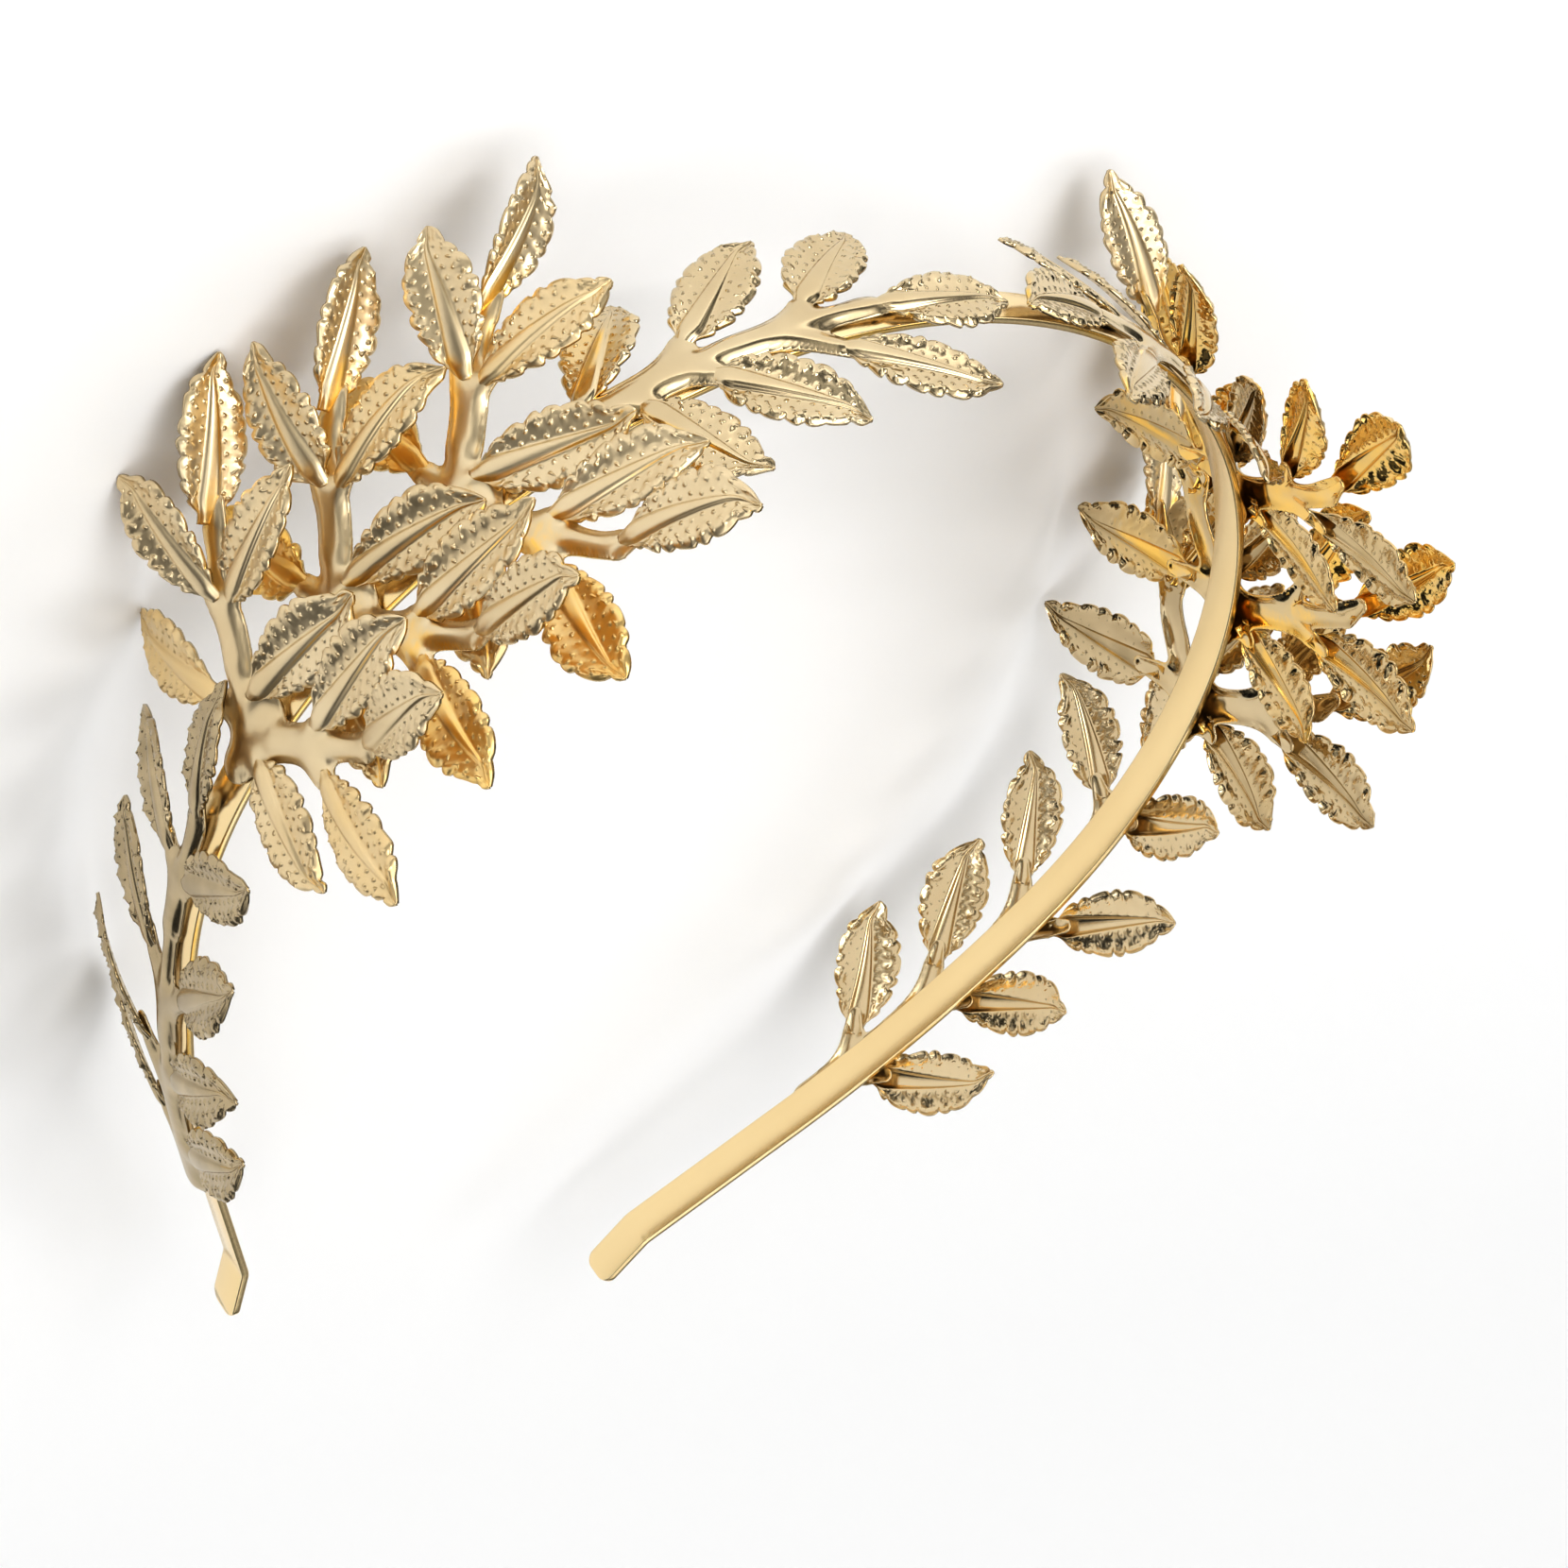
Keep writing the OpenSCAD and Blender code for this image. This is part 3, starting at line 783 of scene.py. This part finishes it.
def add_painted_glow(pieces):
    """Paint a glow of light passed to and fro: the more other metal a point faces, the deeper its gold.
    """
    meshes = [piece.data for piece in pieces]
    places, normals = [], []
    for mesh in meshes:
        for kept, source, name in (
            (places, mesh.vertices, "co"), (normals, mesh.vertex_normals, "vector"),
        ):
            values = np.empty(len(mesh.vertices) * 3, dtype=np.float32)
            source.foreach_get(name, values)
            kept.append(values.reshape(-1, 3))
    everything = np.concatenate(places)
    low = everything.min(0) - WARM_MARGIN
    shape = ((everything.max(0) + WARM_MARGIN - low) / WARM_CELL).astype(int) + 1
    filled = np.zeros(shape, dtype=np.float32)
    filled[tuple(((everything - low) / WARM_CELL).astype(int).T)] = 1.0
    for axis in range(3):
        filled = (np.roll(filled, 1, axis) + filled + np.roll(filled, -1, axis)) / 3
    for mesh, place, normal in zip(meshes, places, normals):
        painted_glow = np.zeros(len(place), dtype=np.float32)
        for reach in WARM_REACHES:
            cells = ((place + normal * reach * MM - low) / WARM_CELL).astype(int)
            painted_glow += filled[tuple(np.clip(cells, 0, shape - 1).T)]
        painted_glow = smooth((painted_glow - WARM_FROM) / (WARM_TO - WARM_FROM))
        # Points near the rows of beads take less of the computed glow, and the glow painted per leaf
        # ('depth') is kept where it is greater
        off = np.full(len(place), NO_BEAD, dtype=np.float32)
        depth = np.zeros(len(place), dtype=np.float32)
        if "depth" in mesh.attributes:
            mesh.attributes["bead_off"].data.foreach_get("value", off)
            mesh.attributes["depth"].data.foreach_get("value", depth)
        painted_glow = np.where(off < NO_BEAD, LEAF_PAINTED_GLOW * painted_glow, painted_glow)
        set_attribute(mesh, "painted_glow", np.maximum(depth, painted_glow))


# Materials

class Tree:
    """The nodes of a material or of the world, with a short call for each kind that is used."""

    def __init__(self, owner):
        owner.use_nodes = True
        self.nodes, self.links = owner.node_tree.nodes, owner.node_tree.links

    def join(self, value, socket):
        """Link an output to a socket, or set the socket to a number, vector or colour."""
        if isinstance(value, bpy.types.NodeSocket):
            self.links.new(value, socket)
        else:
            socket.default_value = value

    def add(self, kind, output, inputs, **settings):
        node = self.nodes.new(kind)
        for name, value in settings.items():
            setattr(node, name, value)
        for key, value in inputs.items():
            self.join(value, node.inputs[key])
        return node.outputs[output]

    def coords(self, space):
        return self.add("ShaderNodeTexCoord", space, {})

    def attribute(self, name):
        return self.add("ShaderNodeAttribute", "Fac", {}, attribute_name=name)

    def compute(self, operation, *values):
        return self.add("ShaderNodeMath", "Value", dict(enumerate(values)), operation=operation)

    def noise(self, scale, detail, roughness=0.5, space="Object"):
        coords = self.coords(space)
        inputs = {"Scale": scale, "Detail": detail, "Roughness": roughness, "Vector": coords}
        return self.add("ShaderNodeTexNoise", "Fac", inputs)

    def ramp(self, source, stops):
        output = self.add("ShaderNodeValToRGB", "Color", {"Fac": source})
        elements = output.node.color_ramp.elements
        for i, (at, colour) in enumerate(stops):
            element = elements[i] if i < 2 else elements.new(at)
            element.position = at
            element.color = (*colour, 1.0)
        return output

    def map_range(self, source, low, high, from_low=0.0):
        inputs = {"Value": source, "From Min": from_low, "To Min": low, "To Max": high}
        return self.add("ShaderNodeMapRange", "Result", inputs)

    def bump(self, height, strength, distance):
        inputs = {"Strength": strength, "Distance": distance, "Height": height}
        return self.add("ShaderNodeBump", "Normal", inputs)

    def mix(self, factor, first, second, blend="MIX"):
        inputs = {"Factor": factor, "A": first, "B": second}
        return self.add("ShaderNodeMix", "Result", inputs, data_type="RGBA", blend_type=blend)


def new_material(name):
    material = bpy.data.materials.new(name)
    tree = Tree(material)
    return material, tree, tree.nodes["Principled BSDF"].inputs


# A noise has a scale and a detail, and for wear a roughness. The stops are where the colour's drift is at
# its deep and at its pale tone. A dent has a strength and a depth in metres
TONE_STOPS, TONE_DETAIL = (0.32, 0.68), 3
# Gold of the painted glow of light passed between the metal, and gold of painted shade; both are laid on
# in mottled patches
PAINTED_GLOW_GOLD = (1.0, 0.67, 0.19)
PAINTED_SHADE_GOLD = (0.48, 0.39, 0.25)
MOTTLE_NOISE, MOTTLE = (330, 3), (0.3, 1.8)
WEAR_NOISE = (260, 4, 0.6)
DENT_DETAIL = 2
# The beads differ in height, and are weaker as dimples on the underside
BEAD_NOISE, BEAD_HEIGHTS = (420, 1), (-0.4, 2.0)
DIMPLE = 0.35


def gold(name, deep, pale, rough, tone_scale, dent_scale, dent):
    """Plated metal: its colour drifts between two tones, takes painted shade and a painted glow of light
    passed between the metal, and wear changes its gloss.
    """
    material, tree, shader = new_material(name)
    tone = tree.ramp(tree.noise(tone_scale, TONE_DETAIL), zip(TONE_STOPS, (deep, pale)))
    # Lay painted shade, then the painted glow, over the tone in mottled patches
    for mark, colour in (("painted_shade", PAINTED_SHADE_GOLD), ("painted_glow", PAINTED_GLOW_GOLD)):
        mottle = tree.map_range(tree.noise(*MOTTLE_NOISE), *MOTTLE)
        share = tree.compute("MULTIPLY", tree.attribute(mark), mottle)
        tone = tree.mix(share, tone, (*colour, 1.0))
    wear = tree.map_range(tree.noise(*WEAR_NOISE), *rough)
    tree.join(tone, shader["Base Color"])
    tree.join(1.0, shader["Metallic"])
    tree.join(tree.compute("SUBTRACT", wear, tree.attribute("gloss")), shader["Roughness"])
    tree.join(tree.bump(tree.noise(dent_scale, DENT_DETAIL), *dent), shader["Normal"])
    return material


def add_beads(material):
    """Round off the raised points of the blades into beads, which are dimples on the underside."""
    tree = Tree(material)
    along, off = tree.attribute("bead_along"), tree.attribute("bead_off")
    along = tree.compute("SUBTRACT", along, tree.compute("ROUND", along))
    along = tree.compute("MULTIPLY", along, LEAF_L / ROWS * ROWS_PER_BEAD)
    squares = [tree.compute("MULTIPLY", way, way) for way in (along, off)]
    distance = tree.compute("SQRT", tree.compute("ADD", *squares))
    height = tree.map_range(tree.noise(*BEAD_NOISE), *BEAD_HEIGHTS)
    dot = tree.add(
        "ShaderNodeMapRange", "Result",
        {"Value": distance, "From Max": BEAD_R, "To Min": height, "To Max": 0.0},
        interpolation_type="SMOOTHSTEP",
    )
    sunk = tree.compute("MULTIPLY", tree.attribute("under"), 1.0 + DIMPLE)
    way = tree.compute("SUBTRACT", 1.0, sunk)
    beads = tree.bump(tree.compute("MULTIPLY", dot, way), 1.0, BEAD_H * MM)
    dents = tree.nodes["Principled BSDF"].inputs["Normal"].links[0].from_node
    tree.join(beads, dents.inputs["Normal"])


# The crown

leaf_metal = gold(
    "stamped_gold", deep=(0.74, 0.60, 0.38), pale=(0.82, 0.69, 0.47), rough=(0.25, 0.38),
    tone_scale=90, dent_scale=500, dent=(0.08, 0.0002),
)
add_beads(leaf_metal)
band_metal = gold(
    "polished_gold", deep=(0.91, 0.72, 0.41), pale=(0.95, 0.77, 0.46), rough=(0.17, 0.27),
    tone_scale=40, dent_scale=1200, dent=(0.05, 0.0001),
)
pieces = [build_band(band_metal)]
for side_name, side_sign in (("left", -1), ("right", 1)):
    stampings = {f"leaf_spray_{k + 1}": spray(side_sign, k) for k in range(len(SPRAY_AT))}
    stampings["lower_branch"] = branch(
        side_sign, LOWER_FROM, LOWER_TO, LOWER_DRIFT, LOWER_LEAVES,
        LOWER_BRANCH_SHADE_AND_GLOSS[side_name], first_seed=0,
    )
    stampings["top_branch"] = branch(
        side_sign, UPPER_FROM, UPPER_TO, UPPER_DRIFT, UPPER_LEAVES,
        TOP_BRANCH_SHADE_AND_GLOSS, first_seed=TOP_SEEDS,
    )
    for kind, stamping in stampings.items():
        node_name = f"{kind}_{side_name}"
        pieces.append(stamping.build(node_name + "_metal", node_name, leaf_metal))
add_painted_glow(pieces)


# Floor and light

FLOOR_HALF = 3.0
FLOOR_NOISE = (3, 2)
FLOOR_TONES = ((0.3, (0.94, 0.94, 0.94)), (0.7, (0.96, 0.96, 0.96)))
FLOOR_ROUGHNESS = 0.9
floor_mesh = bpy.data.meshes.new("floor")
floor_corners = [(x * FLOOR_HALF, y * FLOOR_HALF, 0) for x, y in ((-1, -1), (1, -1), (1, 1), (-1, 1))]
floor_mesh.from_pydata(floor_corners, [], [(0, 1, 2, 3)])
floor = bpy.data.objects.new("floor", floor_mesh)
bpy.context.scene.collection.objects.link(floor)
floor_material, floor_tree, floor_shader = new_material("pale_floor")
floor_tone = floor_tree.ramp(floor_tree.noise(*FLOOR_NOISE), FLOOR_TONES)
floor_tree.join(floor_tone, floor_shader["Base Color"])
floor_tree.join(FLOOR_ROUGHNESS, floor_shader["Roughness"])
floor_mesh.materials.append(floor_material)

# Lights: place, target, size and power
LIGHTS = {
    "key": ((-0.1, 0.9, 0.95), (0, 0.05, 0.03), (0.7, 0.7), 27),
    "rim": ((0.9, -0.1, 0.6), (0, 0, 0.03), (0.3, 0.5), 5),
    "fill": ((-1.0, 0.5, 0.6), (-0.45, 0.2, 0), (0.5, 0.5), 10),
}
for light_name, (place, target, size, power) in LIGHTS.items():
    light_data = bpy.data.lights.new(light_name, "AREA")
    light_data.shape = "RECTANGLE"
    light_data.size, light_data.size_y = size
    light_data.energy = power
    light = bpy.data.objects.new(light_name, light_data)
    light.location = place
    aim = unit(np.array(target) - np.array(place))
    light.rotation_euler = (math.acos(-aim[2]), 0.0, math.atan2(aim[0], -aim[1]))
    bpy.context.scene.collection.objects.link(light)

# The studio: dim near the floor and to the front, bright overhead and behind, with darker parts
SKY_HEIGHTS = (
    (0.0, (0.08, 0.08, 0.07)), (0.3, (0.22, 0.22, 0.21)),
    (0.6, (0.8, 0.8, 0.8)), (0.9, (1.1, 1.1, 1.1)),
)
SKY_PATCHES = ((0.42, (0.08, 0.08, 0.08)), (0.60, (1.9, 1.9, 1.9)))
PATCH_NOISE = (3.2, 1.0)
BRIGHT_SIDE = (0.2, 0.95, 0.25)
SIDE_TONES = (0.25, 1.25)
SKY_STRENGTH = 1.5
sky = bpy.data.worlds.new("studio")
bpy.context.scene.world = sky
sky_tree = Tree(sky)
sky_coords = sky_tree.coords("Generated")
sky_height = sky_tree.add("ShaderNodeSeparateXYZ", "Z", {"Vector": sky_coords})
patches = sky_tree.noise(*PATCH_NOISE, space="Generated")
facing = sky_tree.add(
    "ShaderNodeVectorMath", "Value", {0: sky_coords, 1: BRIGHT_SIDE}, operation="DOT_PRODUCT",
)
sky_colour = sky_tree.mix(
    1.0, sky_tree.ramp(sky_height, SKY_HEIGHTS), sky_tree.ramp(patches, SKY_PATCHES), "MULTIPLY",
)
side_tone = sky_tree.map_range(facing, *SIDE_TONES, from_low=-1.0)
background = sky_tree.nodes["Background"].inputs
sky_tree.join(sky_colour, background["Color"])
sky_tree.join(sky_tree.compute("MULTIPLY", side_tone, SKY_STRENGTH), background["Strength"])
